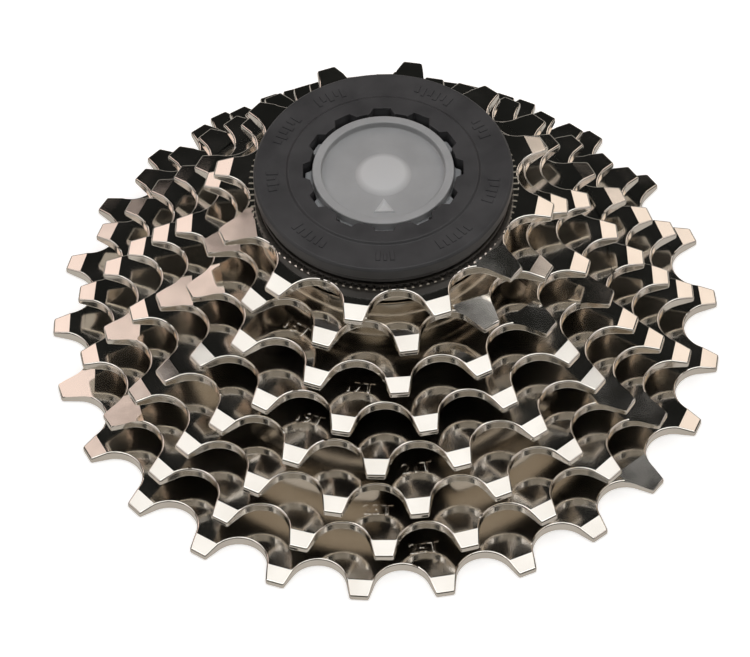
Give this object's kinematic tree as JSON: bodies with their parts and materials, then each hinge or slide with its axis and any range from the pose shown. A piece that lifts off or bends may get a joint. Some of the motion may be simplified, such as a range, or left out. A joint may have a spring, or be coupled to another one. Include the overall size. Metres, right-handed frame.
{
  "type": "bicycle cassette",
  "caption": "Bicycle rear cassette: a stepped stack of toothed sprockets with a notched lockring and a plastic shipping holder clipped through the splined bores.",
  "frame": {"origin": "on the axle axis, in the plane of the largest sprocket's back face, which it rests on", "axes": "+Z along the axle axis towards the lockring, -Y towards the viewer, +X to the viewer's right"},
  "size_m": [0.1045, 0.1045, 0.0393],
  "materials": {
    "nickel_plate": "bright nickel plate on stamped steel",
    "black_plastic": "moulded, satin",
    "pin_steel": "drawn wire, riveted head",
    "black_steel": "matt black coating",
    "translucent_grey": "translucent, lightly frosted moulding"
  },
  "bodies": {
    "riveted_cluster": {"sprocket_15t": "nickel_plate", "sprocket_17t": "nickel_plate", "sprocket_19t": "nickel_plate", "sprocket_21t": "nickel_plate", "sprocket_23t": "nickel_plate", "sprocket_25t": "nickel_plate", "spacer_15_17": "black_plastic", "spacer_17_19": "black_plastic", "spacer_19_21": "black_plastic", "spacer_21_23": "black_plastic", "spacer_23_25": "black_plastic", "fixing_pin_1": "pin_steel", "fixing_pin_2": "pin_steel", "fixing_pin_3": "pin_steel"},
    "sprocket_13t": {"sprocket_13t": "nickel_plate"},
    "sprocket_12t": {"sprocket_12t": "nickel_plate"},
    "lockring_washer": {"lockring_washer": "black_steel"},
    "lockring": {"lockring": "black_steel"},
    "shipping_holder": {"shipping_holder": "translucent_grey"}
  },
  "joints": [
    {"name": "sprocket_13t_lift", "type": "slide", "parent": "riveted_cluster", "child": "sprocket_13t", "axis": [0, 0, 1], "range_m": [0, 0.014]},
    {"name": "sprocket_12t_lift", "type": "slide", "parent": "sprocket_13t", "child": "sprocket_12t", "axis": [0, 0, 1], "range_m": [0, 0.012]},
    {"name": "lockring_lift", "type": "slide", "parent": "sprocket_12t", "child": "lockring_washer", "axis": [0, 0, 1], "range_m": [0, 0.012]},
    {"name": "lockring_turn", "type": "hinge", "parent": "lockring_washer", "child": "lockring", "pos_m": [0, 0, 0.037], "axis": [0, 0, 1], "continuous": true},
    {"name": "holder_turn", "type": "hinge", "parent": "riveted_cluster", "child": "shipping_holder", "pos_m": [0, 0, 0.037], "axis": [0, 0, 1], "continuous": true}
  ],
  "couplings": [
    {"joint": "holder_turn", "follows": "lockring_turn", "ratio": 1}
  ]
}
